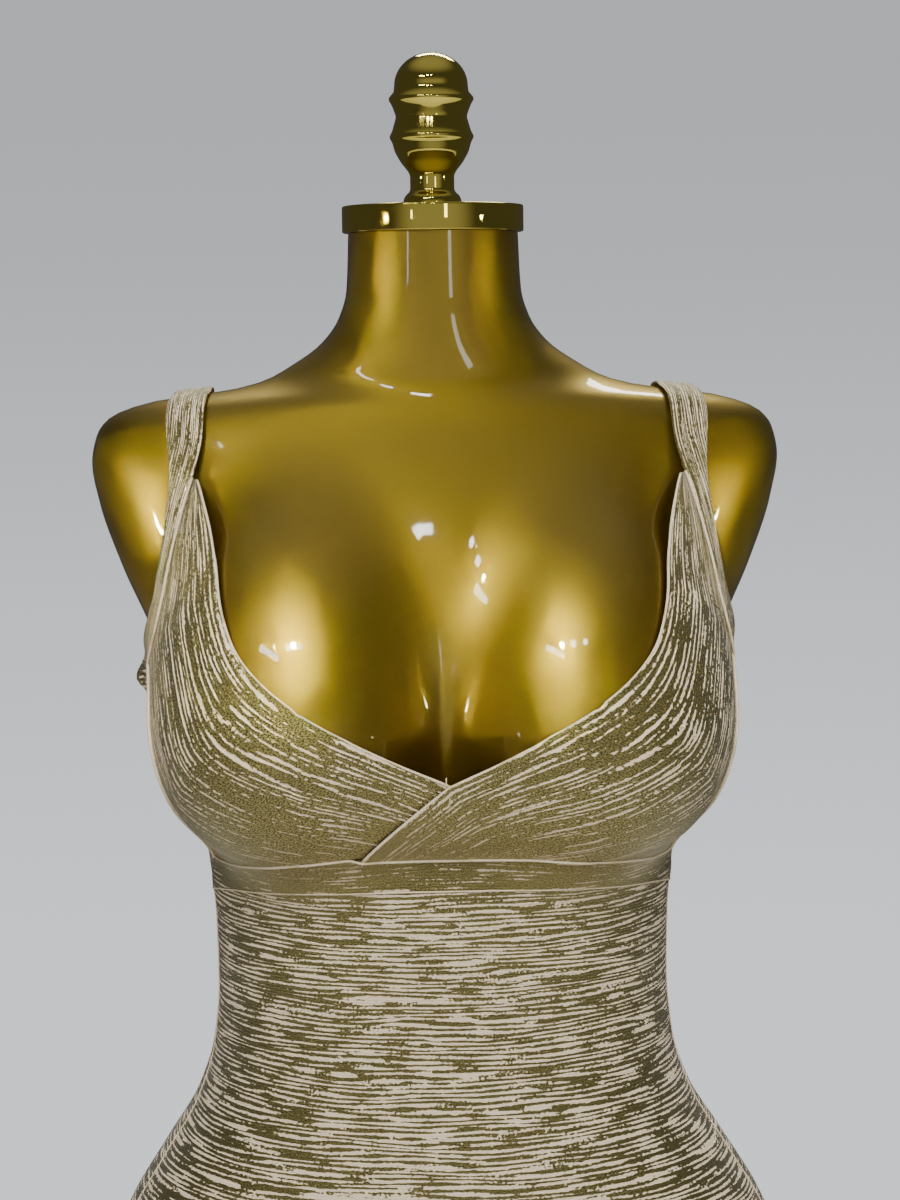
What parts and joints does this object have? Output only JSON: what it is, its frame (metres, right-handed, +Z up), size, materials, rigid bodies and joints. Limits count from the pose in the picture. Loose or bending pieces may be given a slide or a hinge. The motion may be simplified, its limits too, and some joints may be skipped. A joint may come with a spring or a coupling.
{
  "type": "bodycon dress on a dress form",
  "caption": "Sleeveless fitted mini dress with crossed cups, a low neckline, an underbust band and wide straps, worn on a limbless dress form with a turned finial, a pole and a round base.",
  "frame": {"origin": "centre of the round base's underside, on the floor", "axes": "+Z up along the stand's pole, front of the dress towards -Y, the wearer's left towards +X"},
  "size_m": [0.3838, 0.368, 1.5149],
  "materials": {
    "front_body": "stretch knit with metallic foil streaks",
    "back_body": "stretch knit with metallic foil streaks",
    "underbust_band": "stretch knit with metallic foil streaks",
    "cup_left": "stretch knit with metallic foil streaks",
    "cup_right": "stretch knit with metallic foil streaks",
    "strap_left": "stretch knit with metallic foil streaks",
    "strap_right": "stretch knit with metallic foil streaks",
    "form_torso": "glossy gold lacquer",
    "neck_cap": "polished gold plating",
    "finial": "polished gold plating",
    "form_socket": "polished gold plating",
    "pole": "polished gold plating",
    "base_plate": "polished gold plating"
  },
  "bodies": {
    "root": {"front_body": "front_body", "back_body": "back_body", "underbust_band": "underbust_band", "cup_left": "cup_left", "cup_right": "cup_right", "strap_left": "strap_left", "strap_right": "strap_right", "form_torso": "form_torso", "neck_cap": "neck_cap", "finial": "finial", "form_socket": "form_socket", "pole": "pole", "base_plate": "base_plate"}
  },
  "joints": []
}
